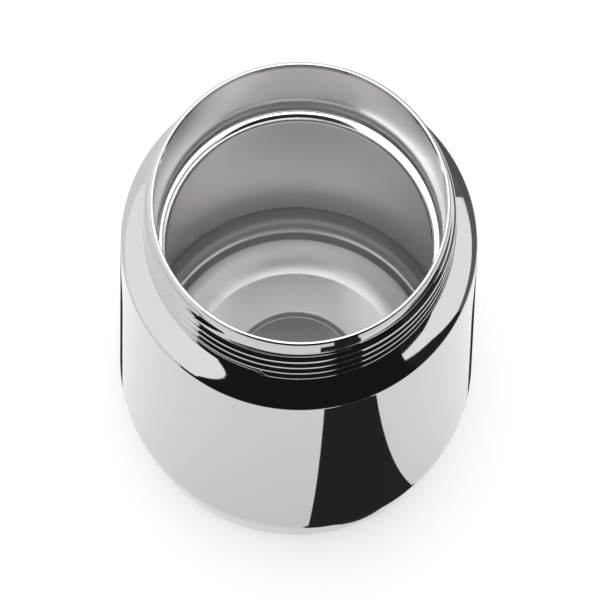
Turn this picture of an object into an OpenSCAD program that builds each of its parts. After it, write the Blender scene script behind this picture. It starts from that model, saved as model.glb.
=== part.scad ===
// Body of a double-wall vacuum travel mug, lid off.
// Origin: centre of the circle that the mug stands on, at the resting plane. +Z up, millimetres.
// Front is -Y. The screw thread starts just left of the front.

/* [Overall] */
// Height from the resting plane to the top of the lip
total_h = 134; // [120:1:160]
// Outside diameter of the straight body
body_d = 88; // [86:0.5:92]
// Thickness of the outer steel sheet
outer_wall = 0.5; // [0.4:0.05:0.6]
// Thickness of the liner's steel sheet
liner_wall = 0.5; // [0.4:0.05:0.6]

/* [Foot] */
// Height at which the body starts to taper in
taper_h = 17; // [14:0.5:22]
// Angle of the taper from vertical, in degrees
taper_angle = 11.4; // [8:0.2:12]
// Radius of the bend where the taper starts
taper_bend_r = 18; // [10:1:24]
// Radius of the rounded bottom edge
edge_r = 5.9; // [5:0.1:6.2]
// Width of the flat ring that the mug stands on
foot_w = 1.4; // [1:0.1:2]
// Depth of the recess under the mug
recess_h = 2.6; // [2.4:0.1:3]
// Width of the sloping wall of that recess
recess_slope_w = 0.7; // [0.5:0.1:1]
// Radius of the bends in the bottom pan
pan_bend_r = 1; // [0.8:0.1:1.2]
// Height of the seam between the shell and the bottom pan
bottom_seam_h = 6.2; // [6:0.1:8]

/* [Shoulder] */
// Drop from the lip to the sharp corner of the shoulder
shoulder_drop = 27.8; // [26.5:0.1:29]
// Slope of the shoulder below horizontal, in degrees
shoulder_angle = 43.7; // [40:0.1:46]
// Radius of the corner between shoulder and body
shoulder_corner_r = 1.5; // [1:0.1:2.5]
// Radius of the hollow between shoulder and neck
neck_hollow_r = 2.5; // [1.5:0.1:3]

/* [Neck] */
// Diameter of the mouth inside the neck
mouth_d = 72; // [71.6:0.1:72.4]
// Gap between the liner neck and the plain band of the shell
neck_gap = 0.3; // [0.25:0.05:0.35]
// Height of the fused rim at the lip
lip_h = 1.8; // [1.6:0.1:2.2]
// Height of the plain band under the lip, measured from the lip's top
band_h = 6; // [5:0.1:6.5]
// Step from the plain band out to the root of the thread
root_step = 0.3; // [0.2:0.05:0.4]
// Height over which that step runs
root_step_h = 0.6; // [0.4:0.1:1]

/* [Thread] */
// Rise of the thread in one turn
thread_pitch = 4; // [3.8:0.1:4.1]
// Turns of the thread from end to end
thread_turns = 4; // [3.8:0.05:4.05]
// Height of the thread ridge above its root
thread_h = 0.9; // [0.7:0.05:1]
// Width of the ridge where it meets the neck
thread_w = 2.6; // [2.2:0.1:3.4]
// Drop from the lip to the ridge's crest at its lower end
thread_drop = 21.4; // [21.2:0.1:21.8]
// Direction of the lower end, seen from above, from +X
thread_start = -104; // [-180:1:180]
// Angle over which the lower end rises out of the neck
thread_lead_in = 9; // [6:1:30]
// Angle over which the upper end fades into the band
thread_fade = 34; // [20:1:60]

/* [Liner] */
// Width of the evacuated space between the liner's wall and the shell's wall
vacuum_gap = 4.1; // [3.9:0.1:4.5]
// Drop from the lip to the end of the straight neck wall
neck_depth = 23.3; // [22.5:0.1:24]
// Radius of the long hollow below the neck wall
neck_curve_r = 11.5; // [11:0.1:12]
// Distance that the sealing ledge reaches in from the neck wall
ledge_reach = 3.55; // [3.3:0.05:3.8]
// Width of the level top of that ledge, between the hollow and its rounded edge
ledge_flat_w = 0.15; // [0.05:0.05:0.3]
// Drop from the end of that hollow to the top of the sealing ledge
ledge_drop = 0.1; // [0.05:0.05:0.3]
// Radius of the rounded sealing ledge
ledge_r = 2; // [1.8:0.1:2.1]
// Slope under the ledge, in degrees from vertical
ledge_under_angle = 45; // [40:1:50]
// Radius of the bend from the ledge's underside to the wall
under_bend_r = 4; // [3:0.5:5]
// Height of the seam between liner wall and liner floor
liner_seam_h = 23; // [22.5:0.1:24]
// Height of both sheet seams
seam_w = 0.6; // [0.4:0.1:0.8]
// How far a seam stands out of the sheet
seam_proud = 0.12; // [0.08:0.02:0.2]

/* [Liner floor] */
// Radius of the curve from the wall to the floor step
floor_curve_r = 10; // [9.5:0.1:10.5]
// Angle that this curve turns through
floor_curve_turn = 47; // [44:1:50]
// Width of the small shelf below that curve
shelf_w = 0.6; // [0.4:0.1:0.8]
// Fall of that shelf
shelf_fall = 0.2; // [0.1:0.05:0.3]
// Run of the steep step inwards
step_run = 1; // [0.8:0.1:1.2]
// Fall of the steep step
step_fall = 2.5; // [2.3:0.1:2.7]
// Radius of the hollow dish between that step and the plateau
dish_r = 18; // [14:1:30]
// Diameter of the flat central plateau
plateau_d = 52.6; // [50:0.2:54]
// Height of the plateau's edge over the resting plane
plateau_h = 9.1; // [9:0.1:9.6]
// Fall of the plateau from its edge to the centre disc
plateau_fall = 0.8; // [0.5:0.1:1]
// Outer diameter of the step round the centre disc
disc_d = 32.8; // [30:0.2:34]
// Width of that step
disc_step_w = 0.9; // [0.6:0.1:1.2]
// Depth of the centre disc
disc_depth = 1.1; // [0.8:0.1:1.2]

/* [Vacuum space] */
// Diameter of the roof of the evacuation dimple
dimple_d = 12; // [10:0.5:14]
// Depth of the dimple
dimple_h = 1.3; // [1:0.1:1.4]
// Width of the dimple's sloping wall
dimple_slope_w = 1.3; // [1:0.1:2]
// Diameter of the evacuation hole
evac_hole_d = 1.2; // [0.8:0.1:2]
// Diameter of the solder glass bead
seal_d = 6.4; // [5:0.2:8]
// Height of the solder glass bead
seal_h = 1.4; // [1:0.1:1.6]
// Diameter of the getter pellet
getter_d = 8.2; // [7:0.1:9]
// Thickness of the getter pellet
getter_h = 1.5; // [1.2:0.1:1.7]
// Distance of the getter from the mug's axis
getter_offset = 22; // [18:0.5:24]
// Sheet thickness of the getter holder
holder_wall = 0.3; // [0.2:0.05:0.4]
// Clearance round the pellet in its holder
getter_clearance = 0.1; // [0.05:0.05:0.2]
// Length of each welding tab of the holder
tab_l = 3; // [2:0.5:4]
// Width of each welding tab
tab_w = 4; // [3:0.5:5]
// Thickness of the radiation foil
foil_t = 0.15; // [0.1:0.05:0.2]
// Gap between a foil and the liner
foil_gap = 0.05; // [0.03:0.01:0.1]
// Distance from the liner's seam to the foil above it
foil_margin = 2; // [1:0.5:3]
// Height of the foil on the liner wall
wall_foil_h = 66; // [50:1:68]
// Width of the strip that holds the foil
tape_w = 12; // [8:1:20]

/* [Base cover] */
// Thickness of the base cover
cap_t = 0.5; // [0.4:0.05:0.6]
// Clearance between the cover's rim and the recess wall
cap_clearance = 0.3; // [0.2:0.05:0.4]
// Distance that the cover stays above the resting plane
cap_lift = 0.7; // [0.5:0.1:0.9]
// Height of the cover's upturned rim
cap_rim_h = 1.1; // [0.9:0.1:1.2]
// Diameter of the adhesive ring, at its middle
bond_d = 46; // [40:1:50]
// Width of the adhesive ring
bond_w = 6; // [3:0.5:8]

/* [Hidden] */
$fn = 180;

polished_steel = [0.80, 0.80, 0.81];
satin_steel = [0.66, 0.65, 0.64];
plain_steel = [0.58, 0.58, 0.58];
bright_weld = [0.90, 0.90, 0.90];
foil_colour = [0.85, 0.60, 0.45];
glass_colour = [0.30, 0.32, 0.25];
getter_colour = [0.25, 0.25, 0.27];
bond_colour = [0.90, 0.90, 0.86];

// Segments of one bend, and of the larger curves
bend_n = 6;
curve_n = 12;

// Outline helpers: points are [radius, height]
function unit(v) = v / norm(v);
function polar(c, r, a) = [c[0] + r * cos(a), c[1] + r * sin(a)];
function arc_points(c, r, a0, a1, n) = [for (i = [0:n]) polar(c, r, a0 + (a1 - a0) * i / n)];
function half_turn(a) = a > 180 ? a - 360 : a < -180 ? a + 360 : a;

// Left-hand normal of the run from p to q
function left_of(p, q) = let (d = unit(q - p)) [-d[1], d[0]];

// Points of the arc of radius r from p to q that is hollow on its right
function arc_between(p, q, r, n) =
    let (half = norm(q - p) / 2,
        centre = (p + q) / 2 - left_of(p, q) * sqrt(r * r - half * half),
        a0 = atan2(p[1] - centre[1], p[0] - centre[0]),
        a1 = atan2(q[1] - centre[1], q[0] - centre[0]))
    arc_points(centre, r, a0, a0 + half_turn(a1 - a0), n);

// Points of the bend of radius r that rounds the corner b between a and c
function bend_points(a, b, c, r, n = bend_n) =
    let (u = unit(a - b), v = unit(c - b), half = acos(u * v) / 2,
        centre = b + unit(u + v) * r / sin(half),
        p = b + u * r / tan(half) - centre, q = b + v * r / tan(half) - centre,
        a0 = atan2(p[1], p[0]), turn = half_turn(atan2(q[1], q[0]) - a0))
    arc_points(centre, r, a0, a0 + turn, n);

// The same line moved by t to its left, with mitred corners
function moved(line, t) =
    let (last = len(line) - 1)
    [for (i = [0:last])
        let (n0 = left_of(line[max(i - 1, 0)], line[max(i, 1)]),
            n1 = left_of(line[min(i, last - 1)], line[min(i + 1, last)]),
            m = unit(n0 + n1))
        line[i] + m * t / (m * n0)];

// Closed outline of a sheet between two parallel lines
function sheet_outline(line, t0, t1) =
    let (near = moved(line, t0), far = moved(line, t1), last = len(line) - 1)
    concat(near, [for (i = [last:-1:0]) far[i]]);

// Line whose last point lies on the axis, kept on the axis after it is moved
function on_axis(points) = [for (p = points) [max(p[0], 0), p[1]]];

module turned(points) {
    rotate_extrude() polygon(points);
}

// Shell: outer face from the lip down to the bottom seam
body_r = body_d / 2;
mouth_r = mouth_d / 2;
lip_foot_h = total_h - lip_h;
lip_w = liner_wall + neck_gap + outer_wall;
band_r = mouth_r + lip_w;
root_r = band_r + root_step;
band_foot_h = total_h - band_h;
shoulder_h = total_h - shoulder_drop;
neck_foot_h = shoulder_h + (body_r - root_r) * tan(shoulder_angle);
function taper_r(h) = body_r - (taper_h - h) * tan(taper_angle);
band_top = [band_r, lip_foot_h];
shell_seam = [taper_r(bottom_seam_h + seam_w / 2), bottom_seam_h + seam_w / 2];
pan_seam = [taper_r(bottom_seam_h - seam_w / 2), bottom_seam_h - seam_w / 2];
taper_corner = [body_r, taper_h];
shoulder_corner = [body_r, shoulder_h];
neck_foot = [root_r, neck_foot_h];
root_top = [root_r, band_foot_h - root_step_h];
shoulder_bend = bend_points(neck_foot, shoulder_corner, taper_corner, shoulder_corner_r);
join_h = shoulder_bend[bend_n][1] - 1;
neck_line = concat(
    [band_top, [band_r, band_foot_h], root_top],
    bend_points(root_top, neck_foot, shoulder_corner, neck_hollow_r),
    shoulder_bend,
    [[body_r, join_h]]);
barrel_line = concat(
    [[body_r, join_h]],
    bend_points(shoulder_corner, taper_corner, shell_seam, taper_bend_r),
    [shell_seam]);

// Bottom pan: outer face from the seam down and in to the evacuation hole
edge_corner = [taper_r(0), 0];
edge_line = bend_points(pan_seam, edge_corner, [0, 0], edge_r, curve_n);
foot_out_r = edge_line[curve_n][0];
recess_foot = [foot_out_r - foot_w, 0];
recess_roof = [recess_foot[0] - recess_slope_w, recess_h];
dimple_foot = [dimple_d / 2 + dimple_slope_w, recess_h];
dimple_roof = [dimple_d / 2, recess_h + dimple_h];
evac_edge = [evac_hole_d / 2, recess_h + dimple_h];
pan_line = concat(
    [pan_seam],
    edge_line,
    [recess_foot],
    bend_points(recess_foot, recess_roof, dimple_foot, pan_bend_r),
    [dimple_foot, dimple_roof, evac_edge]);
pan_top_h = recess_h + outer_wall;

// Outer radius of the shell at a height between its shoulder and its lip
hollow_h = neck_foot_h + neck_hollow_r * tan((90 - shoulder_angle) / 2);
hollow_foot_h = hollow_h - neck_hollow_r * cos(shoulder_angle);
function hollow_face_r(h) = root_r + neck_hollow_r - sqrt(pow(neck_hollow_r, 2) - pow(h - hollow_h, 2));
function neck_face_r(h) =
    h > root_top[1] ? root_r - root_step * min(1, (h - root_top[1]) / root_step_h)
    : h > hollow_h ? root_r
    : h > hollow_foot_h ? hollow_face_r(h)
    : root_r + (neck_foot_h - h) / tan(shoulder_angle);

// Thread: a rounded ridge, raised on rows of points round the neck
ring_n = 60;
row_h = 0.5;
thread_angle = 360 * thread_turns;
thread_start_h = total_h - thread_drop;
thread_foot_h = thread_start_h - thread_w / 2;
thread_top_h = thread_start_h + thread_pitch * thread_turns + thread_w / 2;
crest_r = root_r + thread_h;
function ridge_share(a) = max(0, min(1, a / thread_lead_in, (thread_angle - a) / thread_fade));
function ridge_rise(a) = let (s = ridge_share(a)) s * s * (3 - 2 * s);
// Share of the full ridge at height h and at angle a from the thread's start
function ridge_at(h, a) =
    let (turns = (h - thread_start_h) / thread_pitch,
        along = a + 360 * round(turns - a / 360),
        across = (turns - along / 360) * thread_pitch / thread_w)
    abs(across) < 0.5 ? ridge_rise(along) * (1 + cos(360 * across)) / 2 : 0;
function raised(p, a) =
    let (foot_r = min(p[0], root_r))
    [max(p[0], foot_r + (crest_r - foot_r) * ridge_at(p[1], a)), p[1]];
function placed(p, a) = [p[0] * cos(a), p[0] * sin(a), p[1]];

// Neck section, counter-clockwise: outer rows up, inner rows down. Its foot lies inside the barrel's wall
join_inset = outer_wall / 5;
neck_last = len(neck_line) - 1;
inner_neck_line = moved(neck_line, -outer_wall);
outer_rows = concat(
    [[body_r - join_inset, join_h]],
    [for (i = [bend_n:-1:0]) shoulder_bend[i]],
    [for (h = [thread_foot_h:row_h:thread_top_h]) [neck_face_r(h), h]],
    [band_top]);
inner_rows = concat(
    [for (i = [0:neck_last - 1]) inner_neck_line[i]],
    [[body_r - outer_wall + join_inset, join_h]]);

// Liner: inner face from the lip down to its seam
liner_r = body_r - outer_wall - vacuum_gap - liner_wall;
throat_r = mouth_r - ledge_reach;
neck_foot_in = [mouth_r, total_h - neck_depth];
neck_curve_in = ledge_reach - ledge_r - ledge_flat_w;
neck_curve_turn = acos(1 - neck_curve_in / neck_curve_r);
neck_curve_line = arc_points([mouth_r - neck_curve_r, neck_foot_in[1]], neck_curve_r,
    0, -neck_curve_turn, bend_n);
neck_curve_foot = neck_curve_line[bend_n];
ledge_centre = [throat_r + ledge_r, neck_curve_foot[1] - ledge_drop - ledge_r];
ledge_line = arc_points(ledge_centre, ledge_r, 90, 180 + ledge_under_angle, curve_n);
ledge_end = ledge_line[curve_n];
under_corner = [liner_r, ledge_end[1] - (liner_r - ledge_end[0]) / tan(ledge_under_angle)];
liner_seam = [liner_r, liner_seam_h + seam_w / 2];
floor_seam = [liner_r, liner_seam_h - seam_w / 2];
liner_line = concat(
    [[mouth_r, lip_foot_h]],
    neck_curve_line,
    ledge_line,
    bend_points(ledge_end, under_corner, liner_seam, under_bend_r),
    [liner_seam]);

// Liner floor: inner face from the seam to the axis
floor_curve_line = arc_points([liner_r - floor_curve_r, floor_seam[1]], floor_curve_r,
    0, -floor_curve_turn, curve_n);
shelf_out = floor_curve_line[curve_n];
shelf_in = shelf_out + [-shelf_w, -shelf_fall];
step_foot = shelf_in + [-step_run, -step_fall];
plateau_edge = [plateau_d / 2, plateau_h];
disc_edge = [disc_d / 2, plateau_h - plateau_fall];
disc_foot = disc_edge + [-disc_step_w, -disc_depth];
dish_line = concat(
    arc_between(step_foot, plateau_edge, dish_r, bend_n),
    [disc_edge, disc_foot, [0, disc_foot[1]]]);
floor_line = concat(floor_curve_line, [shelf_in], dish_line);

// Foils
foil_in = liner_wall + foil_gap;
foil_out = foil_in + foil_t;
wall_foil_foot_h = liner_seam_h + seam_w / 2 + foil_margin;
tape_angle = 360 * tape_w / (2 * PI * (liner_r + foil_out));

// Base cover
cap_r = recess_foot[0] - recess_slope_w - cap_clearance;
cap_top_h = cap_lift + cap_t;

module threaded_neck() {
    n = len(outer_rows) + len(inner_rows);
    points = [for (k = [0:ring_n - 1])
        let (a = 360 * k / ring_n)
        each concat(
            [for (p = outer_rows) placed(raised(p, a), thread_start + a)],
            [for (p = inner_rows) placed(p, thread_start + a)])];
    faces = [for (k = [0:ring_n - 1]) for (i = [0:n - 1])
        let (a = k * n + i, b = k * n + (i + 1) % n,
            c = (k + 1) % ring_n * n + (i + 1) % n, d = (k + 1) % ring_n * n + i)
        each [[a, b, c], [a, c, d]]];
    polyhedron(points, faces);
}

module outer_shell() {
    color(polished_steel) {
        turned(sheet_outline(barrel_line, 0, -outer_wall));
        threaded_neck();
    }
}

module lip_weld() {
    lip_r = lip_w / 2;
    color(bright_weld) turned(concat(
        [[mouth_r, lip_foot_h], [band_r, lip_foot_h]],
        arc_points([mouth_r + lip_r, total_h - lip_r], lip_r, 0, 180, curve_n)));
}

module inner_liner() {
    color(satin_steel) turned(sheet_outline(liner_line, 0, liner_wall));
}

module liner_weld() {
    color(bright_weld) turned([
        [liner_r, floor_seam[1]], [liner_r + liner_wall, floor_seam[1]],
        [liner_r + liner_wall + seam_proud, liner_seam_h],
        [liner_r + liner_wall, liner_seam[1]], [liner_r, liner_seam[1]],
        [liner_r - seam_proud, liner_seam_h]]);
}

module liner_bottom() {
    color(satin_steel) turned(on_axis(sheet_outline(floor_line, 0, liner_wall)));
}

module outer_bottom() {
    color(polished_steel) turned(sheet_outline(pan_line, 0, -outer_wall));
}

module bottom_weld() {
    across = left_of(shell_seam, pan_seam) * -outer_wall;
    middle = (shell_seam + pan_seam) / 2 + across + unit(across) * seam_proud;
    color(plain_steel) turned([pan_seam, shell_seam, shell_seam + across, middle, pan_seam + across]);
}

module glass_seal() {
    color(glass_colour) {
        translate([0, 0, evac_edge[1]]) cylinder(d = evac_hole_d, h = outer_wall);
        turned(concat([[0, evac_edge[1]]],
            [for (i = [0:bend_n]) [seal_d / 2 * cos(90 * i / bend_n),
                evac_edge[1] - seal_h * sin(90 * i / bend_n)]]));
    }
}

module getter_holder() {
    cup_r = getter_d / 2 + getter_clearance;
    color(plain_steel) translate([getter_offset, 0, pan_top_h]) {
        difference() {
            cylinder(r = cup_r + holder_wall, h = holder_wall + getter_h);
            translate([0, 0, holder_wall]) cylinder(r = cup_r, h = getter_h + 1);
        }
        difference() {
            for (side = [-1, 1])
                translate([-tab_w / 2, side > 0 ? cup_r : -cup_r - holder_wall - tab_l, 0])
                    cube([tab_w, holder_wall + tab_l, holder_wall]);
            cylinder(r = cup_r, h = getter_h + 1);
        }
    }
}

module getter_pellet() {
    color(getter_colour) translate([getter_offset, 0, pan_top_h + holder_wall])
        cylinder(d = getter_d, h = getter_h);
}

module wall_foil() {
    color(foil_colour) translate([0, 0, wall_foil_foot_h]) difference() {
        cylinder(r = liner_r + foil_out, h = wall_foil_h);
        translate([0, 0, -1]) cylinder(r = liner_r + foil_in, h = wall_foil_h + 2);
    }
}

module foil_tape() {
    color(bond_colour) translate([0, 0, wall_foil_foot_h]) rotate(90 - tape_angle / 2)
        rotate_extrude(angle = tape_angle)
            translate([liner_r + foil_out, 0]) square([foil_t, wall_foil_h]);
}

module floor_foil() {
    color(foil_colour) turned(on_axis(sheet_outline(dish_line, foil_in, foil_out)));
}

module base_cap() {
    color(polished_steel) turned([
        [0, cap_lift], [cap_r - cap_t, cap_lift], [cap_r, cap_top_h],
        [cap_r, cap_lift + cap_rim_h], [cap_r - cap_t, cap_lift + cap_rim_h],
        [cap_r - cap_t, cap_top_h], [0, cap_top_h]]);
}

module cap_bond() {
    color(bond_colour) translate([0, 0, cap_top_h]) difference() {
        cylinder(d = bond_d + bond_w, h = recess_h - cap_top_h);
        translate([0, 0, -1]) cylinder(d = bond_d - bond_w, h = recess_h - cap_top_h + 2);
    }
}

outer_shell();
lip_weld();
inner_liner();
liner_weld();
liner_bottom();
outer_bottom();
bottom_weld();
glass_seal();
getter_holder();
getter_pellet();
wall_foil();
foil_tape();
floor_foil();
base_cap();
cap_bond();
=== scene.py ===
import bmesh
import bpy
import math
from mathutils import Matrix, Vector


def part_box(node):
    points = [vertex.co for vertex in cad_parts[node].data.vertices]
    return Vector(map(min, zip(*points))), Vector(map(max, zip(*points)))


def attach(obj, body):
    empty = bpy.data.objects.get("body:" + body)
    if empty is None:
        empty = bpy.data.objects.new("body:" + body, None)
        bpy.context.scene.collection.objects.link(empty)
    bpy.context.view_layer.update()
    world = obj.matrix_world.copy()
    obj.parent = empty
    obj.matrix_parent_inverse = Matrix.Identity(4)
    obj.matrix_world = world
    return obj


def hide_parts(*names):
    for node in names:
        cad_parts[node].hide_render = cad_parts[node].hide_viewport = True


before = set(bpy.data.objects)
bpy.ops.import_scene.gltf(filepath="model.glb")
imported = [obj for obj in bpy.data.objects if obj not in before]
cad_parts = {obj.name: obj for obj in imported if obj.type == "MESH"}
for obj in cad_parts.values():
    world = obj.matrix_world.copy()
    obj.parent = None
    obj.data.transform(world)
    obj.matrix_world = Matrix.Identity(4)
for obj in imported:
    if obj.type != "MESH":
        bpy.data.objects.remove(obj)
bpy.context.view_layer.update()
print("frame loaded:", len(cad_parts), "nodes")

mm = 0.001  # sizes below are in millimetres, the scene is in metres
turnSteps = 300  # faces round a turned piece
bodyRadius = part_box("outer_shell")[1].x / mm
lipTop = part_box("lip_weld")[1].z / mm
nearlyTouching = 0.002  # millimetres, to pick a point or merge two


# Hand tools

def clearSelection():
    if bpy.context.object and bpy.context.object.mode != "OBJECT":
        bpy.ops.object.mode_set(mode="OBJECT")
    bpy.ops.object.select_all(action="DESELECT")
    bpy.context.view_layer.objects.active = None


def selectOnly(piece):
    clearSelection()
    piece.select_set(True)
    bpy.context.view_layer.objects.active = piece


def startOutline(name, radius, height):  # a plane merged into one point, ready to extrude
    clearSelection()
    bpy.ops.mesh.primitive_plane_add(size=mm, location=(radius * mm, 0, height * mm))
    piece = bpy.context.object
    piece.name = piece.data.name = name
    bpy.ops.object.transform_apply(location=True, rotation=True, scale=True)
    bpy.ops.object.mode_set(mode="EDIT")
    bpy.ops.mesh.select_all(action="SELECT")
    bpy.ops.mesh.merge(type="CENTER")
    return piece


def penPoint(piece):
    return next(point.co.copy() for point in bmesh.from_edit_mesh(piece.data).verts if point.select)


def lineTo(piece, radius, height):
    move = Vector((radius * mm, 0, height * mm)) - penPoint(piece)
    bpy.ops.mesh.extrude_vertices_move(TRANSFORM_OT_translate={"value": move})


def lineBy(piece, out, up):
    at = penPoint(piece) / mm
    lineTo(piece, at.x + out, at.z + up)


def sweepAbout(piece, radius, height, degrees, steps):  # positive turns from +X towards -Z
    bpy.ops.mesh.spin(steps=steps, angle=math.radians(-degrees), axis=(0, 1, 0),
                      center=(radius * mm, 0, height * mm))


def pickPoint(piece, radius, height):
    bpy.ops.mesh.select_all(action="DESELECT")
    mesh = bmesh.from_edit_mesh(piece.data)
    place = Vector((radius * mm, 0, height * mm))
    point = min(mesh.verts, key=lambda each: (each.co - place).length)
    point.select = True
    return [edge.other_vert(point).co - point.co for edge in point.link_edges]


def roundCorner(piece, radius, height, bend, steps):  # the bend's radius, and the faces it gets
    runs = pickPoint(piece, radius, height)
    offset = bend * mm / math.tan(runs[0].angle(runs[1]) / 2)
    bpy.ops.mesh.bevel(offset=offset, offset_type="OFFSET", segments=steps, affect="VERTICES")


def shareAlong(point, start, end):  # where a point lies on a straight run, or None when it is off it
    run = end - start
    share = (point.co / mm - start).dot(run) / run.length_squared
    apart = (point.co / mm - start - run * share).length
    return share if apart < nearlyTouching * 2 and -0.01 < share < 1.01 else None


def cutRun(piece, start, end, cuts):  # cuts the straight run between two corners into even steps
    bpy.ops.mesh.select_all(action="DESELECT")
    mesh = bmesh.from_edit_mesh(piece.data)
    for edge in mesh.edges:
        edge.select = all(shareAlong(point, start, end) is not None for point in edge.verts)
    bmesh.update_edit_mesh(piece.data)
    bpy.ops.mesh.subdivide(number_cuts=cuts)


def corner(radius, height):
    return Vector((radius, 0, height))


def innerCorners(line, wall):  # the same corners on the other side of the sheet, with mitres
    inner = []
    for index, point in enumerate(line):
        before, after = line[max(index - 1, 0)], line[min(index + 1, len(line) - 1)]
        sides = [Vector((run.z, 0, -run.x)).normalized()
                 for run in (point - before, after - point) if run.length > 0]
        mitre = (sides[0] + sides[-1]).normalized()
        inner.append(point + mitre * wall / mitre.dot(sides[0]))
    return inner


def turnOutline(piece, side):  # spins it round the mug's axis and faces it to one side
    bpy.ops.mesh.select_all(action="SELECT")
    bpy.ops.mesh.spin(steps=turnSteps, angle=2 * math.pi, center=(0, 0, 0), axis=(0, 0, 1))
    bpy.ops.mesh.select_all(action="SELECT")
    bpy.ops.mesh.remove_doubles(threshold=nearlyTouching * mm)
    bpy.ops.mesh.normals_make_consistent(inside=False)
    mesh = bmesh.from_edit_mesh(piece.data)
    facing = 0
    for face in mesh.faces:
        middle = face.calc_center_median()
        outwards = Vector((middle.x, middle.y, 0)).normalized()
        toSide = {"out": outwards, "in": -outwards, "up": Vector((0, 0, 1))}[side]
        facing += face.calc_area() * face.normal.dot(toSide)
    if facing < 0:
        bpy.ops.mesh.flip_normals()
    bpy.ops.object.mode_set(mode="OBJECT")


def giveWall(piece, wall):  # thickens the sheet away from the side that it faces
    selectOnly(piece)
    bpy.ops.object.modifier_add(type="SOLIDIFY")
    sheet = piece.modifiers[-1]
    sheet.thickness = wall * mm
    sheet.offset = -1
    sheet.use_even_offset = True
    bpy.ops.object.modifier_apply(modifier=sheet.name)


smoothingValues = {
    "sharpAngle": 32,  # degrees; a sharper edge stays an edge
    "faceWeight": 80,  # large faces keep their true direction, so mirrors stay straight
}


def smoothPiece(piece):
    selectOnly(piece)
    bpy.ops.object.shade_smooth_by_angle(angle=math.radians(smoothingValues["sharpAngle"]))
    bpy.ops.object.modifier_add(type="WEIGHTED_NORMAL")
    weighted = piece.modifiers[-1]
    weighted.keep_sharp = True
    weighted.weight = smoothingValues["faceWeight"]
    bpy.ops.object.modifier_apply(modifier=weighted.name)


def finishPiece(piece, material, slotName, *cadNodes):
    smoothPiece(piece)
    piece.data.materials.clear()
    piece.data.materials.append(material)
    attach(piece, "root")
    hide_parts(*cadNodes)
    print("made", piece.name, "with", len(piece.data.polygons), "faces")


# Finishes

noiseMiddle = (0.3, 0.7)  # most of a noise pattern lies between these
stainShare = 0.12  # how far the noise darkens a plain finish
plainRelief = 0.5


def newMaterial(name):
    material = bpy.data.materials.new(name)
    material.use_nodes = True
    return material, material.node_tree, material.node_tree.nodes["Principled BSDF"]


def addNode(tree, kind, **settings):
    node = tree.nodes.new(kind)
    for name, value in settings.items():
        if name in node.inputs:
            node.inputs[name].default_value = value
        else:
            setattr(node, name, value)
    return node


def mathNode(tree, operation, first, second):
    node = tree.nodes.new("ShaderNodeMath")
    node.operation = operation
    for socket, value in zip(node.inputs, (first, second)):
        if isinstance(value, bpy.types.NodeSocket):
            tree.links.new(value, socket)
        else:
            socket.default_value = value
    return node.outputs[0]


def mapTo(tree, value, fromLow, fromHigh, toLow, toHigh):
    node = addNode(tree, "ShaderNodeMapRange", interpolation_type="SMOOTHSTEP")
    tree.links.new(value, node.inputs["Value"])
    for socket, number in zip(node.inputs[1:5], (fromLow, fromHigh, toLow, toHigh)):
        socket.default_value = number
    return node.outputs["Result"]


# Rings round the axis, fine across them and slow along them, and the height
def turnedCoordinates(tree, across, along):
    place = addNode(tree, "ShaderNodeTexCoord").outputs["Object"]
    split = addNode(tree, "ShaderNodeSeparateXYZ")
    tree.links.new(place, split.inputs[0])
    flat = addNode(tree, "ShaderNodeCombineXYZ")
    tree.links.new(split.outputs["X"], flat.inputs["X"])
    tree.links.new(split.outputs["Y"], flat.inputs["Y"])
    radius = addNode(tree, "ShaderNodeVectorMath", operation="LENGTH")
    tree.links.new(flat.outputs[0], radius.inputs[0])
    ring = mathNode(tree, "SUBTRACT", split.outputs["Z"], radius.outputs["Value"])
    grain = addNode(tree, "ShaderNodeCombineXYZ")
    tree.links.new(mathNode(tree, "MULTIPLY", split.outputs["X"], along), grain.inputs["X"])
    tree.links.new(mathNode(tree, "MULTIPLY", split.outputs["Y"], along), grain.inputs["Y"])
    tree.links.new(mathNode(tree, "MULTIPLY", ring, across), grain.inputs["Z"])
    return grain.outputs[0], split.outputs["Z"]


def noiseOf(tree, place, scale, detail):
    noise = addNode(tree, "ShaderNodeTexNoise", Scale=scale, Detail=detail)
    tree.links.new(place, noise.inputs["Vector"])
    return noise.outputs["Fac"]


def addBump(tree, shader, height, strength, depth):
    bump = addNode(tree, "ShaderNodeBump", Strength=strength, Distance=depth * mm)
    tree.links.new(height, bump.inputs["Height"])
    tree.links.new(bump.outputs["Normal"], shader.inputs["Normal"])


polishedValues = {
    "colour": (0.48, 0.48, 0.485, 1),
    "roughness": (0.035, 0.085),  # clean mirror, and along hairlines
    "hairlines": (3200, 25),  # fineness across and along the polishing direction, per metre
    "hairlineShare": (0.5, 0.75),  # where the noise starts to dull the mirror, and where it is dullest
    "hairlineRelief": (0.5, 0.0006),  # strength, and depth in millimetres
}


def makePolishedSteel():
    values = polishedValues
    material, tree, shader = newMaterial("polishedSteel")
    shader.inputs["Base Color"].default_value = values["colour"]
    shader.inputs["Metallic"].default_value = 1
    grain = turnedCoordinates(tree, *values["hairlines"])[0]
    hairs = noiseOf(tree, grain, 1, 3)
    dulled = mapTo(tree, hairs, *values["hairlineShare"], *values["roughness"])
    tree.links.new(dulled, shader.inputs["Roughness"])
    addBump(tree, shader, hairs, *values["hairlineRelief"])
    return material


satinValues = {
    "colour": (0.95, 0.935, 0.93, 1),
    "wallRoughness": 0.24,
    "ledgeRoughness": 0.12,
    "neckRoughness": 0.24,
    "ledgeHeights": (100.5, 105.5),
    "fadeUnder": 2,  # the polish of the ledge fades over this height
    "fadeOver": 4,
    "roughnessSpread": 0.02,
    "grain": (2400, 30),
    "grainRelief": (0.4, 0.002),
}


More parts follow.
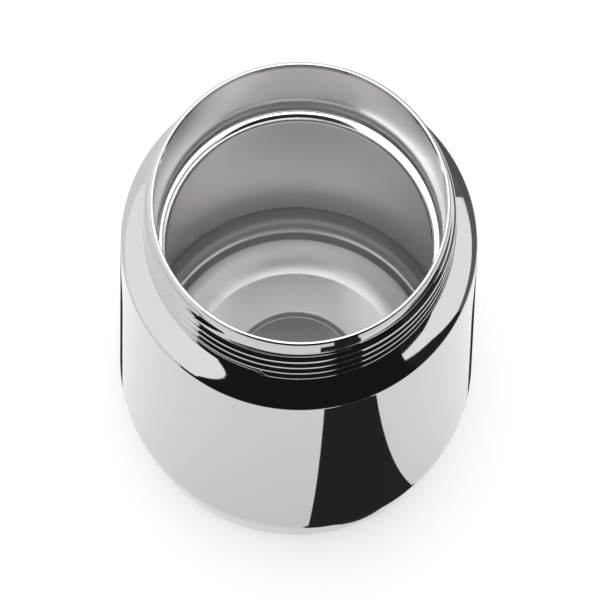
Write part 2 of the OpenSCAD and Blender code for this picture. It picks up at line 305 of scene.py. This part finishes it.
def makeSatinSteel():
    values = satinValues
    material, tree, shader = newMaterial("satinSteel")
    shader.inputs["Base Color"].default_value = values["colour"]
    shader.inputs["Metallic"].default_value = 1
    grain, height = turnedCoordinates(tree, *values["grain"])
    low, high = values["ledgeHeights"]
    under = mapTo(tree, height, (low - values["fadeUnder"]) * mm, low * mm,
                  values["wallRoughness"], values["ledgeRoughness"])
    over = mapTo(tree, height, high * mm, (high + values["fadeOver"]) * mm,
                 0, values["neckRoughness"] - values["ledgeRoughness"])
    turned = noiseOf(tree, grain, 1, 2)
    zone = mathNode(tree, "ADD", under, over)
    spread = mapTo(tree, turned, *noiseMiddle, -values["roughnessSpread"], values["roughnessSpread"])
    tree.links.new(mathNode(tree, "ADD", zone, spread), shader.inputs["Roughness"])
    addBump(tree, shader, turned, *values["grainRelief"])
    return material


blastedValues = {
    "colour": (0.60, 0.588, 0.583, 1),
    "roughness": (0.29, 0.37),
    "grainScale": 2200,
    "grainRelief": (0.6, 0.006),
    "discHeight": 7.2,
    "dishHeight": 9.3,
    "discPaintedShade": 0.5,  # painted shade: the centre disc's colour is darkened to this share, and this fades out by the dish's height
}


# blasted steel for the liner floor, with painted shade darkening its centre disc
def makeBlastedSteel():
    values = blastedValues
    material, tree, shader = newMaterial("blastedSteel")
    shader.inputs["Metallic"].default_value = 1
    place = addNode(tree, "ShaderNodeTexCoord").outputs["Object"]
    mottle = noiseOf(tree, place, values["grainScale"], 4)
    split = addNode(tree, "ShaderNodeSeparateXYZ")
    tree.links.new(place, split.inputs[0])
    # painted shade: the colour is darkened at the centre disc and brightens up to the dish's height
    shade = mapTo(tree, split.outputs["Z"], values["discHeight"] * mm, values["dishHeight"] * mm,
                  values["discPaintedShade"], 1)
    paintedShadeColour = addNode(tree, "ShaderNodeVectorMath", operation="SCALE")
    paintedShadeColour.inputs[0].default_value = values["colour"][:3]
    tree.links.new(shade, paintedShadeColour.inputs["Scale"])
    tree.links.new(paintedShadeColour.outputs["Vector"], shader.inputs["Base Color"])
    tree.links.new(mapTo(tree, mottle, *noiseMiddle, *values["roughness"]), shader.inputs["Roughness"])
    addBump(tree, shader, mottle, *values["grainRelief"])
    return material


plainValues = {
    "brushedSteel": {"colour": (0.62, 0.62, 0.62, 1), "metallic": 1, "roughness": (0.2, 0.34),
                     "grain": (5200, 20), "depth": 0.004},
    "sheetSteel": {"colour": (0.58, 0.58, 0.58, 1), "metallic": 1, "roughness": (0.3, 0.42),
                   "grain": (1800, 60), "depth": 0.004},
    "copperFoil": {"colour": (0.85, 0.60, 0.45, 1), "metallic": 1, "roughness": (0.12, 0.3),
                   "grain": (400, 400), "depth": 0.05},
    "solderGlass": {"colour": (0.10, 0.11, 0.07, 1), "metallic": 0, "roughness": (0.08, 0.2),
                    "grain": (900, 900), "depth": 0.01},
    "getterPowder": {"colour": (0.09, 0.09, 0.10, 1), "metallic": 0, "roughness": (0.75, 0.95),
                     "grain": (6000, 6000), "depth": 0.03},
    "glassCloth": {"colour": (0.80, 0.80, 0.76, 1), "metallic": 0, "roughness": (0.7, 0.9),
                   "grain": (5000, 900), "depth": 0.03},
    "curedSealant": {"colour": (0.78, 0.78, 0.74, 1), "metallic": 0, "roughness": (0.45, 0.65),
                     "grain": (700, 700), "depth": 0.05},
}


def makePlainFinish(name):
    values = plainValues[name]
    material, tree, shader = newMaterial(name)
    shader.inputs["Metallic"].default_value = values["metallic"]
    grain = turnedCoordinates(tree, *values["grain"])[0]
    noise = noiseOf(tree, grain, 1, 3)
    shade = addNode(tree, "ShaderNodeMixRGB", blend_type="MULTIPLY", Fac=stainShare)
    shade.inputs["Color1"].default_value = values["colour"]
    tree.links.new(noise, shade.inputs["Color2"])
    tree.links.new(shade.outputs["Color"], shader.inputs["Base Color"])
    tree.links.new(mapTo(tree, noise, *noiseMiddle, *values["roughness"]), shader.inputs["Roughness"])
    addBump(tree, shader, noise, plainRelief, values["depth"])
    return material


polishedSteel = makePolishedSteel()
satinSteel = makeSatinSteel()
blastedSteel = makeBlastedSteel()
plainFinishes = {name: makePlainFinish(name) for name in plainValues}
print("finishes made:", len(bpy.data.materials))


# Shell with the rolled thread

shellValues = {
    "wall": 0.5,
    "bandRadius": 37.3,
    "bandFoot": 128.0,
    "lipFoot": 132.2,
    "neckRadius": 37.6,
    "stepHeight": 0.6,
    "shoulderHeight": 106.2,
    "shoulderAngle": 43.7,  # degrees below level
    "slopeCrown": 3,  # degrees that the slope steepens from end to end
    "slopeWave": 20,  # makes the slope hollow near the neck and full near the corner
    "slopeCuts": 12,
    "neckHollow": 2.5,  # bend between neck and shoulder
    "shoulderBend": 1.5,
    "taperHeight": 17.0,
    "taperAngle": 11.4,
    "taperBend": 18.0,
    "seamHeight": 6.5,
    "bandRows": 8,
    "stepRows": 3,
    "neckRows": 110,
    "bendFaces": (12, 10, 10),  # at the neck's foot, the shoulder's edge and the taper's top
    "innerBendFaces": 4,
}
threadValues = {
    "pitch": 4.0,
    "turns": 4,
    "height": 0.9,
    "flank": ((0, 0), (0.7, 0.3), (1.0, 0.75), (1.6, 0.75), (2.0, 0)),  # distance from the crest, slope
    "startHeight": 112.6,
    "startDirection": -105,  # degrees from +X
    "leadIn": 5,
    "fade": 34,
    "topStretch": 1.25,  # how much longer the flank is between the top turn and the plain band
    "flankBlend": 40,  # degrees over which that flank grows
}


def taperRadius(height):
    run = shellValues["taperHeight"] - height
    return bodyRadius - run * math.tan(math.radians(shellValues["taperAngle"]))


def shapeSlope(piece, top, foot):  # gives the shoulder its slight S
    values = shellValues
    cutRun(piece, top, foot, values["slopeCuts"])
    mesh = bmesh.from_edit_mesh(piece.data)
    along = (foot - top).normalized()
    outwards = Vector((-along.z, 0, along.x))
    crown, wave = math.radians(values["slopeCrown"]), math.radians(values["slopeWave"])
    for point in mesh.verts:
        share = shareAlong(point, top, foot)
        if share is not None:
            side = share - 0.5
            rise = crown * (0.25 - side * side) / 2 - wave * (side ** 3 / 3 - side / 12)
            point.co += outwards * rise * (foot - top).length * mm
    bmesh.update_edit_mesh(piece.data)


def dropFromCrest(distance):  # adds up the flank's slopes
    drop = 0
    for (near, nearSlope), (far, farSlope) in zip(threadValues["flank"], threadValues["flank"][1:]):
        run = min(distance, far) - near
        if run > 0:
            drop += run * (nearSlope + (farSlope - nearSlope) * run / (far - near) / 2)
    return drop


def ridgeShare(turnAngle, height):  # how much of the full ridge stands at this place
    values = threadValues
    turns = (height - values["startHeight"]) / values["pitch"]
    along = turnAngle + 360 * min(values["turns"] - 1, round(turns - turnAngle / 360))
    away = (turns - along / 360) * values["pitch"]
    if away > 0:
        onTop = max(0, min(1, (along - 360 * (values["turns"] - 1)) / values["flankBlend"]))
        away /= 1 + (values["topStretch"] - 1) * onTop
    share = min(1, along / values["leadIn"], (360 * values["turns"] - along) / values["fade"])
    if share <= 0:
        return 0
    return share * share * (3 - 2 * share) * (1 - dropFromCrest(abs(away)) / dropFromCrest(math.inf))


def rollThread(piece):
    neck, band = shellValues["neckRadius"], shellValues["bandRadius"]
    crest = neck + threadValues["height"]
    for point in piece.data.vertices:
        radius, height = math.hypot(point.co.x, point.co.y) / mm, point.co.z / mm
        if radius < band - nearlyTouching:
            continue
        turned = math.degrees(math.atan2(point.co.y, point.co.x))
        share = ridgeShare((turned - threadValues["startDirection"]) % 360, height)
        foot = min(radius, neck)
        lifted = max(radius, foot + (crest - foot) * share)
        point.co.x *= lifted / radius
        point.co.y *= lifted / radius


def makeShell():
    values = shellValues
    slope = math.tan(math.radians(values["shoulderAngle"]))
    neckFoot = values["shoulderHeight"] + (bodyRadius - values["neckRadius"]) * slope
    rootTop = values["bandFoot"] - values["stepHeight"]
    outer = [
        corner(values["bandRadius"], values["lipFoot"]),
        corner(values["bandRadius"], values["bandFoot"]),
        corner(values["neckRadius"], rootTop),
        corner(values["neckRadius"], neckFoot),
        corner(bodyRadius, values["shoulderHeight"]),
        corner(bodyRadius, values["taperHeight"]),
        corner(taperRadius(values["seamHeight"]), values["seamHeight"]),
    ]
    inner = innerCorners(outer, values["wall"])
    piece = startOutline("outerShell", outer[0].x, outer[0].z)
    for point in outer[1:] + inner[::-1] + outer[:1]:
        lineTo(piece, point.x, point.z)
    bpy.ops.mesh.select_all(action="SELECT")
    bpy.ops.mesh.remove_doubles(threshold=nearlyTouching * mm)
    lip, bandEnd, neckTop, neckEnd, shoulderEdge = outer[:5]
    bends = (values["neckHollow"], values["shoulderBend"], values["taperBend"])
    sides = (1, -1, -1)  # the sheet's inside bends wider at a hollow and tighter at an edge
    for outside, inside, bend, faces, side in zip(outer[3:], inner[3:], bends, values["bendFaces"], sides):
        roundCorner(piece, outside.x, outside.z, bend, faces)
        roundCorner(piece, inside.x, inside.z, bend + side * values["wall"], values["innerBendFaces"])
    half = math.tan(math.radians(90 - values["shoulderAngle"]) / 2)
    down = (shoulderEdge - neckEnd).normalized()
    shapeSlope(piece, neckEnd + down * values["neckHollow"] * half,
               shoulderEdge - down * values["shoulderBend"] * half)
    cutRun(piece, lip, bandEnd, values["bandRows"])
    cutRun(piece, bandEnd, neckTop, values["stepRows"])
    cutRun(piece, neckTop, neckEnd + Vector((0, 0, values["neckHollow"] * half)), values["neckRows"])
    turnOutline(piece, "out")
    rollThread(piece)
    finishPiece(piece, polishedSteel, "polished_steel", "outer_shell")


# Rim where shell and liner are welded and rolled smooth

lipValues = {
    "innerRadius": 36.0,
    "slant": 0.35,  # how much narrower the lip is at its top
    "innerBend": 0.3,
    "innerBendFaces": 8,
    "outerBend": 0.5,
    "outerBendFaces": 12,
}


def makeLip():
    values = lipValues
    inner, outer, foot = values["innerRadius"], shellValues["bandRadius"], shellValues["lipFoot"]
    piece = startOutline("rolledLip", inner, foot)
    lineTo(piece, outer, foot)
    lineTo(piece, outer - values["slant"], lipTop)
    lineTo(piece, inner, lipTop)
    lineTo(piece, inner, foot)
    roundCorner(piece, outer - values["slant"], lipTop, values["outerBend"], values["outerBendFaces"])
    roundCorner(piece, inner, lipTop, values["innerBend"], values["innerBendFaces"])
    turnOutline(piece, "out")
    finishPiece(piece, polishedSteel, "polished_steel", "lip_weld")


# Liner: neck, sealing ledge and wall

linerValues = {
    "wall": 0.5,
    "neckRadius": 36.0,
    "neckFoot": 110.7,
    "hollow": 11.5,  # radius of the long bend below the neck
    "hollowRun": 1.4,  # how far that bend comes in
    "hollowFaces": 14,
    "ledgeDrop": 0.1,
    "ledgeBend": 2.0,
    "ledgeFaces": 22,
    "throatRadius": 32.45,
    "underAngle": 45,
    "underBend": 4.0,
    "underFaces": 10,
    "wallRadius": 38.9,
    "seamTop": 23.3,
    "seamFoot": 22.7,
}


def makeLiner():
    values = linerValues
    piece = startOutline("innerLiner", values["neckRadius"], shellValues["lipFoot"])
    lineTo(piece, values["neckRadius"], values["neckFoot"])
    turn = math.degrees(math.acos(1 - values["hollowRun"] / values["hollow"]))
    sweepAbout(piece, values["neckRadius"] - values["hollow"], values["neckFoot"], turn,
               values["hollowFaces"])
    hollowEnd = penPoint(piece) / mm
    ledgeRadius = values["throatRadius"] + values["ledgeBend"]
    ledgeHeight = hollowEnd.z - values["ledgeDrop"] - values["ledgeBend"]
    lineTo(piece, ledgeRadius, ledgeHeight + values["ledgeBend"])
    sweepAbout(piece, ledgeRadius, ledgeHeight, -90 - values["underAngle"], values["ledgeFaces"])
    ledgeEnd = penPoint(piece) / mm
    flare = (values["wallRadius"] - ledgeEnd.x) / math.tan(math.radians(values["underAngle"]))
    lineTo(piece, values["wallRadius"], ledgeEnd.z - flare)
    lineTo(piece, values["wallRadius"], values["seamTop"])
    roundCorner(piece, values["wallRadius"], ledgeEnd.z - flare, values["underBend"], values["underFaces"])
    turnOutline(piece, "in")
    giveWall(piece, values["wall"])
    finishPiece(piece, satinSteel, "satin_steel", "inner_liner")


# Weld between liner wall and liner floor

beadValues = {  # for this weld and for the one at the mug's foot
    "proud": 0.12,  # how far it stands out of the sheet
    "bend": 0.4,
    "bendFaces": 4,
}


def makeLinerSeam():
    proud = beadValues["proud"]
    foot, top = linerValues["seamFoot"], linerValues["seamTop"]
    middle = (foot + top) / 2
    inner = linerValues["wallRadius"]
    outer = inner + linerValues["wall"]
    piece = startOutline("linerSeam", inner, foot)
    lineTo(piece, outer, foot)
    lineTo(piece, outer + proud, middle)
    lineTo(piece, outer, top)
    lineTo(piece, inner, top)
    lineTo(piece, inner - proud, middle)
    lineTo(piece, inner, foot)
    roundCorner(piece, outer + proud, middle, beadValues["bend"], beadValues["bendFaces"])
    roundCorner(piece, inner - proud, middle, beadValues["bend"], beadValues["bendFaces"])
    turnOutline(piece, "out")
    finishPiece(piece, polishedSteel, "satin_steel", "liner_weld")


# Liner floor with its step, hollow, plateau and centre disc

floorValues = {
    "wall": 0.5,
    "curve": 10.0,
    "curveTurn": 47,
    "curveFaces": 20,
    "shelf": (-0.6, -0.2),  # run in and fall
    "step": (-1.0, -2.5),
    "dishRadius": 18.0,
    "dishFaces": 16,
    "plateauEdge": (26.3, 9.1),
    "discEdge": (16.4, 8.3),
    "discFoot": (15.5, 7.2),
    "discBend": 0.5,
    "plateauBend": 0.7,
    "stepBend": 0.35,
    "shelfInnerBend": 0.3,
    "shelfOuterBend": 0.25,
    "bendFaces": 6,
    "shelfOuterFaces": 4,
}


def makeLinerFloor():
    values = floorValues
    piece = startOutline("linerFloor", linerValues["wallRadius"], linerValues["seamFoot"])
    sweepAbout(piece, linerValues["wallRadius"] - values["curve"], linerValues["seamFoot"],
               values["curveTurn"], values["curveFaces"])
    shelfOut = penPoint(piece) / mm
    lineBy(piece, *values["shelf"])
    shelfIn = penPoint(piece) / mm
    lineBy(piece, *values["step"])
    stepFoot = penPoint(piece) / mm
    edge = corner(*values["plateauEdge"])
    chord = edge - stepFoot
    reach = math.sqrt(values["dishRadius"] ** 2 - (chord.length / 2) ** 2)
    across = Vector((chord.z, 0, -chord.x)).normalized()
    centre = (stepFoot + edge) / 2 + across * (reach if across.z > 0 else -reach)
    sweep = math.degrees(2 * math.asin(chord.length / 2 / values["dishRadius"]))
    sweepAbout(piece, centre.x, centre.z, sweep, values["dishFaces"])
    lineTo(piece, *values["discEdge"])
    lineTo(piece, *values["discFoot"])
    lineTo(piece, 0, values["discFoot"][1])
    roundCorner(piece, *values["discFoot"], values["discBend"], values["bendFaces"])
    roundCorner(piece, *values["discEdge"], values["discBend"], values["bendFaces"])
    roundCorner(piece, *values["plateauEdge"], values["plateauBend"], values["bendFaces"])
    roundCorner(piece, stepFoot.x, stepFoot.z, values["stepBend"], values["bendFaces"])
    roundCorner(piece, shelfIn.x, shelfIn.z, values["shelfInnerBend"], values["bendFaces"])
    roundCorner(piece, shelfOut.x, shelfOut.z, values["shelfOuterBend"], values["shelfOuterFaces"])
    turnOutline(piece, "up")
    giveWall(piece, values["wall"])
    finishPiece(piece, blastedSteel, "satin_steel", "liner_bottom")


# Bottom pan, its seam and the cover under it

panValues = {
    "wall": 0.5,
    "seamFoot": 5.9,
    "edgeBend": 5.9,
    "edgeFaces": 20,
    "footWidth": 1.4,
    "recessRun": 0.7,
    "recessHeight": 2.6,
    "recessBend": 1.0,
    "recessFaces": 6,
    "footBend": 0.25,
    "dimpleRadius": 6.0,
    "dimpleRun": 1.3,
    "dimpleHeight": 1.3,
    "dimpleBend": 0.8,
    "smallBendFaces": 4,
    "holeRadius": 0.6,
}


def makeBottomPan():
    values = panValues
    piece = startOutline("bottomPan", taperRadius(values["seamFoot"]), values["seamFoot"])
    lineTo(piece, taperRadius(0), 0)
    half = math.radians(90 - shellValues["taperAngle"]) / 2
    edgeRun = values["edgeBend"] * math.tan(half)
    recessFoot = taperRadius(0) - edgeRun - values["footWidth"]
    lineTo(piece, recessFoot, 0)
    recessRoof = recessFoot - values["recessRun"]
    dimpleFoot = values["dimpleRadius"] + values["dimpleRun"]
    roofHeight = values["recessHeight"] + values["dimpleHeight"]
    lineTo(piece, recessRoof, values["recessHeight"])
    lineTo(piece, dimpleFoot, values["recessHeight"])
    lineTo(piece, values["dimpleRadius"], roofHeight)
    lineTo(piece, values["holeRadius"], roofHeight)
    roundCorner(piece, dimpleFoot, values["recessHeight"], values["dimpleBend"], values["smallBendFaces"])
    roundCorner(piece, recessRoof, values["recessHeight"], values["recessBend"], values["recessFaces"])
    roundCorner(piece, recessFoot, 0, values["footBend"], values["smallBendFaces"])
    roundCorner(piece, taperRadius(0), 0, values["edgeBend"], values["edgeFaces"])
    turnOutline(piece, "out")
    giveWall(piece, values["wall"])
    finishPiece(piece, polishedSteel, "polished_steel", "outer_bottom")


def makeBottomSeam():
    top, foot = shellValues["seamHeight"], panValues["seamFoot"]
    lean = math.radians(shellValues["taperAngle"])
    inwards = Vector((-math.cos(lean), 0, math.sin(lean)))
    low, high = corner(taperRadius(foot), foot), corner(taperRadius(top), top)
    wall = shellValues["wall"]
    bead = (low + high) / 2 + inwards * (wall + beadValues["proud"])
    lowIn, highIn = low + inwards * wall, high + inwards * wall
    piece = startOutline("bottomSeam", low.x, low.z)
    for point in (high, highIn, bead, lowIn, low):
        lineTo(piece, point.x, point.z)
    roundCorner(piece, bead.x, bead.z, beadValues["bend"], beadValues["bendFaces"])
    turnOutline(piece, "out")
    finishPiece(piece, polishedSteel, "plain_steel", "bottom_weld")


coverValues = {
    "wall": 0.5,
    "bend": 0.6,
    "bendFaces": 6,
}


def makeBaseCover():
    wall, bend, faces = coverValues["wall"], coverValues["bend"], coverValues["bendFaces"]
    low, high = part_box("base_cap")
    radius, foot, rimTop = high.x / mm, low.z / mm, high.z / mm
    piece = startOutline("baseCover", 0, foot)
    lineTo(piece, radius - wall, foot)
    lineTo(piece, radius, foot + wall)
    lineTo(piece, radius, rimTop)
    lineTo(piece, radius - wall, rimTop)
    lineTo(piece, radius - wall, foot + wall)
    lineTo(piece, 0, foot + wall)
    roundCorner(piece, radius - wall, foot, bend, faces)
    roundCorner(piece, radius, foot + wall, bend, faces)
    turnOutline(piece, "out")
    finishPiece(piece, plainFinishes["brushedSteel"], "base_steel", "base_cap")


makeShell()
makeLip()
makeLiner()
makeLinerSeam()
makeLinerFloor()
makeBottomPan()
makeBottomSeam()
makeBaseCover()

hiddenFinishes = {
    "glass_seal": "solderGlass",
    "getter_holder": "sheetSteel",
    "getter_pellet": "getterPowder",
    "wall_foil": "copperFoil",
    "foil_tape": "glassCloth",
    "floor_foil": "copperFoil",
    "cap_bond": "curedSealant",
}
for nodeName, finishName in hiddenFinishes.items():
    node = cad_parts[nodeName]
    node.data.materials.clear()
    node.data.materials.append(plainFinishes[finishName])
print("inner pieces finished:", len(hiddenFinishes))


# Studio: pale floor, bright room and dark cards that only the metal sees

def direction(azimuth, elevation):  # azimuth from the front, positive to the right
    turn, rise = math.radians(azimuth), math.radians(elevation)
    return Vector((math.sin(turn) * math.cos(rise), -math.cos(turn) * math.cos(rise), math.sin(rise)))


studioValues = {
    "floorSize": 12,  # metres
    "floorColour": (0.79, 0.79, 0.79),
    "floorGlow": 0.35,  # for the camera and the metal, so that the floor clips to white
    "worldGlow": 1.05,
    "worldShine": 0.42,  # what the metal sees of the room beyond that
    "centreHeight": 100,
    "cardRadius": 1600,
    "cardSpacing": 40,  # dark cards hang this far in front of bright ones, per unit of glow
    "domeFaces": (96, 48),
    "cardLift": 0.4,  # of a card over the floor
    "bentFrom": 150,  # a floor card that lies outside this radius has bent edges
    "bentUpTo": 400,  # but only those within this radius
    "bendFaces": 12,
    "easeFaces": 8,
}
roomCards = {  # corners as azimuth and elevation, then how brightly the card glows
    "frontCard": ([(-36, 77), (-33, 24), (-33, -12), (54, -12), (54, 20), (50, 77)], 0.016),
    "overheadCard": ([(0, 80), (-45, 62), (-90, 57), (-125, 66), (180, 66), (125, 66), (90, 57),
                      (56, 66)], 3.2),
    "leftLowCard": ([(-32, 25), (-30, -12), (-63, -12)], 0.016),
    "rightLowCard": ([(52, 20), (69, 14.5), (84, 4), (84, -12), (52, -12)], 0.027),
    "rightSillCard": ([(84, 4), (125, -2), (125, -12), (84, -12)], 0.19),
    "rightBackCard": ([(125, 26), (170, 26), (170, -12), (125, -12)], 0.19),
    "rightHighCard": ([(56, 52), (125, 52), (125, 28), (53, 28)], 0.35),
    "rightUpperCard": ([(58, 61), (125, 61), (125, 52), (56, 52)], 0.73),
}
floorCards = {  # corners on the floor in millimetres, to the right and to the back, then the glow
    "frontStrip": ([(34.4, -29.3), (92, -143), (60.3, -159.6), (3.2, -45.2)], 0.027),
    "farFront": ([(-150, -112), (-100, -142), (0, -175), (100, -142), (150, -100), (1470, -1030),
                  (1200, -1300), (600, -1700), (0, -1800), (-600, -1700), (-1150, -1400), (-1600, -900),
                  (-380, -306)], 0.016),
    "farRight": ([(150, -100), (195, -20), (1800, -150), (1700, -620), (1470, -1030)], 0.040),
    "midRight": ([(195, -20), (205, 90), (1500, 1000), (1800, 100), (1800, -150)], 0.19),
    "farBackRight": ([(205, 90), (90, 260), (300, 1800), (1000, 1500), (1500, 1000)], 0.16),
}
sideCard = [(38, -6), (44.6, -6), (46, -1), (49.5, 9), (53, 20), (50, 31), (45, 38), (30, 38)]
sideGlow = 0.027


def plainGlow(name, glow):
    material = bpy.data.materials.new(name)
    material.use_nodes = True
    tree = material.node_tree
    tree.nodes.clear()
    output = addNode(tree, "ShaderNodeOutputMaterial")
    shader = addNode(tree, "ShaderNodeEmission", Color=(1, 1, 1, 1), Strength=glow)
    tree.links.new(shader.outputs[0], output.inputs["Surface"])
    return material


def setAsCard(card, glow):  # shows in the metal alone
    card.data.materials.append(plainGlow(card.name, glow))
    card.visible_camera = False
    card.visible_diffuse = False
    card.visible_shadow = False


def hangCard(name, corners, glow):  # a piece of a dome round the mug, cut along the lines between corners
    clearSelection()
    radius = studioValues["cardRadius"] + studioValues["cardSpacing"] * glow
    segments, rings = studioValues["domeFaces"]
    bpy.ops.mesh.primitive_uv_sphere_add(segments=segments, ring_count=rings, radius=radius * mm)
    card = bpy.context.object
    card.name = name
    bpy.ops.object.mode_set(mode="EDIT")
    rays = [direction(*place) for place in corners]
    middle = sum(rays, Vector()).normalized()
    for first, second in zip(rays, rays[1:] + rays[:1]):
        cut = first.cross(second)
        if cut.dot(middle) < 0:
            cut = -cut
        bpy.ops.mesh.select_all(action="SELECT")
        bpy.ops.mesh.bisect(plane_co=(0, 0, 0), plane_no=cut, clear_inner=True)
    bpy.ops.object.mode_set(mode="OBJECT")
    card.location.z = studioValues["centreHeight"] * mm
    bpy.ops.object.transform_apply(location=True)
    setAsCard(card, glow)


def bendEdges(corners):  # the edges near the mug run round it, so they reflect as level lines
    bent = []
    for (x, y), (nextX, nextY) in zip(corners, corners[1:] + corners[:1]):
        radius = math.hypot(x, y)
        growth = math.hypot(nextX, nextY) - radius
        start = math.atan2(y, x)
        turn = (math.atan2(nextY, nextX) - start + math.pi) % (2 * math.pi) - math.pi
        bends = max(radius, radius + growth) < studioValues["bentUpTo"]
        for step in range(studioValues["bendFaces"] if bends else 1):
            share = step / studioValues["bendFaces"]
            reach = radius + growth * share
            angle = start + turn * share
            bent.append((reach * math.cos(angle), reach * math.sin(angle)))
    return bent


def easeBetween(before, start, end, beyond, share):  # a curve through start and end, in one direction
    square = 2 * before - 5 * start + 4 * end - beyond
    cube = 3 * start - 3 * end + beyond - before
    return 0.5 * (2 * start + (end - before) * share + square * share ** 2 + cube * share ** 3)


def easeEdges(corners):  # a smooth line through the corners
    eased = []
    last = len(corners) - 1
    for at in range(last):
        around = corners[max(at - 1, 0)], corners[at], corners[at + 1], corners[min(at + 2, last)]
        for step in range(studioValues["easeFaces"]):
            share = step / studioValues["easeFaces"]
            eased.append(tuple(easeBetween(*places, share) for places in zip(*around)))
    return eased + [corners[last]]


def layCard(name, corners, glow):  # a flat dark sheet just over the floor
    clearSelection()
    if min(math.hypot(x, y) for x, y in corners) > studioValues["bentFrom"]:
        corners = bendEdges(corners)
    lift = studioValues["cardLift"] * mm
    sheet = bpy.data.meshes.new(name)
    sheet.from_pydata([(x * mm, y * mm, lift) for x, y in corners], [], [range(len(corners))])
    card = bpy.data.objects.new(name, sheet)
    bpy.context.scene.collection.objects.link(card)
    setAsCard(card, glow)


def laySideCards():  # one on each side of the foot, for the dark line down either side of the body
    eased = sideCard[:1] + easeEdges(sideCard[1:-1]) + sideCard[-1:]
    layCard("rightSide", eased, sideGlow)
    layCard("leftSide", [(-x, y) for x, y in eased], sideGlow)


def makeFloor():
    clearSelection()
    bpy.ops.mesh.primitive_plane_add(size=studioValues["floorSize"])
    floor = bpy.context.object
    floor.name = "floor"
    material = bpy.data.materials.new("paleFloor")
    material.use_nodes = True
    tree = material.node_tree
    tree.nodes.clear()
    output = addNode(tree, "ShaderNodeOutputMaterial")
    pale = addNode(tree, "ShaderNodeBsdfDiffuse", Color=(*studioValues["floorColour"], 1))
    glow = addNode(tree, "ShaderNodeEmission", Color=(1, 1, 1, 1))
    rays = addNode(tree, "ShaderNodeLightPath")
    seen = mathNode(tree, "ADD", rays.outputs["Is Camera Ray"], rays.outputs["Is Glossy Ray"])
    seen = mathNode(tree, "ADD", seen, rays.outputs["Is Transmission Ray"])
    strength = mathNode(tree, "MULTIPLY", seen, studioValues["floorGlow"])
    tree.links.new(strength, glow.inputs["Strength"])
    both = addNode(tree, "ShaderNodeAddShader")
    tree.links.new(pale.outputs[0], both.inputs[0])
    tree.links.new(glow.outputs[0], both.inputs[1])
    tree.links.new(both.outputs[0], output.inputs["Surface"])
    floor.data.materials.append(material)


def makeWorld():
    world = bpy.data.worlds.new("studio")
    bpy.context.scene.world = world
    world.use_nodes = True
    tree = world.node_tree
    tree.nodes.clear()
    output = addNode(tree, "ShaderNodeOutputWorld")
    room = addNode(tree, "ShaderNodeBackground", Color=(1, 1, 1, 1))
    white = addNode(tree, "ShaderNodeBackground", Color=(1, 1, 1, 1), Strength=1)
    rays = addNode(tree, "ShaderNodeLightPath")
    shine = mathNode(tree, "ADD", rays.outputs["Is Glossy Ray"], rays.outputs["Is Transmission Ray"])
    shine = mathNode(tree, "MULTIPLY", shine, studioValues["worldShine"])
    tree.links.new(mathNode(tree, "ADD", shine, studioValues["worldGlow"]), room.inputs["Strength"])
    choice = addNode(tree, "ShaderNodeMixShader")
    tree.links.new(rays.outputs["Is Camera Ray"], choice.inputs["Fac"])
    tree.links.new(room.outputs[0], choice.inputs[1])
    tree.links.new(white.outputs[0], choice.inputs[2])
    tree.links.new(choice.outputs[0], output.inputs["Surface"])


makeFloor()
makeWorld()
for cardName, (cardCorners, cardGlow) in roomCards.items():
    hangCard(cardName, cardCorners, cardGlow)
for cardName, (cardCorners, cardGlow) in floorCards.items():
    layCard(cardName, cardCorners, cardGlow)
laySideCards()


# Camera: long lens, steep from the front

cameraValues = {
    "lens": 1200,
    "sensor": 36,
    "distance": 4967.2,
    "elevation": 70.39,
    "roll": 1.627,
    "targetHeight": 62.92,
    "aimOffset": (0.62, 0.09),  # to the right and up
    "nearest": 0.5,  # metres; nothing nearer than this is drawn
}


def makeCamera():
    values = cameraValues
    elevation, roll = math.radians(values["elevation"]), math.radians(values["roll"])
    forward = Vector((0, math.cos(elevation), -math.sin(elevation)))
    level = Vector((1, 0, 0))
    upright = level.cross(forward)
    right = level * math.cos(roll) + upright * math.sin(roll)
    up = upright * math.cos(roll) - level * math.sin(roll)
    data = bpy.data.cameras.new("camera")
    data.lens = values["lens"]
    data.sensor_width = values["sensor"]
    data.clip_start = values["nearest"]
    camera = bpy.data.objects.new("camera", data)
    bpy.context.scene.collection.objects.link(camera)
    offset = right * values["aimOffset"][0] + up * values["aimOffset"][1]
    place = Vector((0, 0, values["targetHeight"])) + offset - forward * values["distance"]
    camera.matrix_world = Matrix.Translation(place * mm) @ Matrix((
        (right.x, up.x, -forward.x), (right.y, up.y, -forward.y), (right.z, up.z, -forward.z))).to_4x4()
    bpy.context.scene.camera = camera


makeCamera()
bpy.context.scene.view_settings.view_transform = "Standard"
print("studio and camera set")
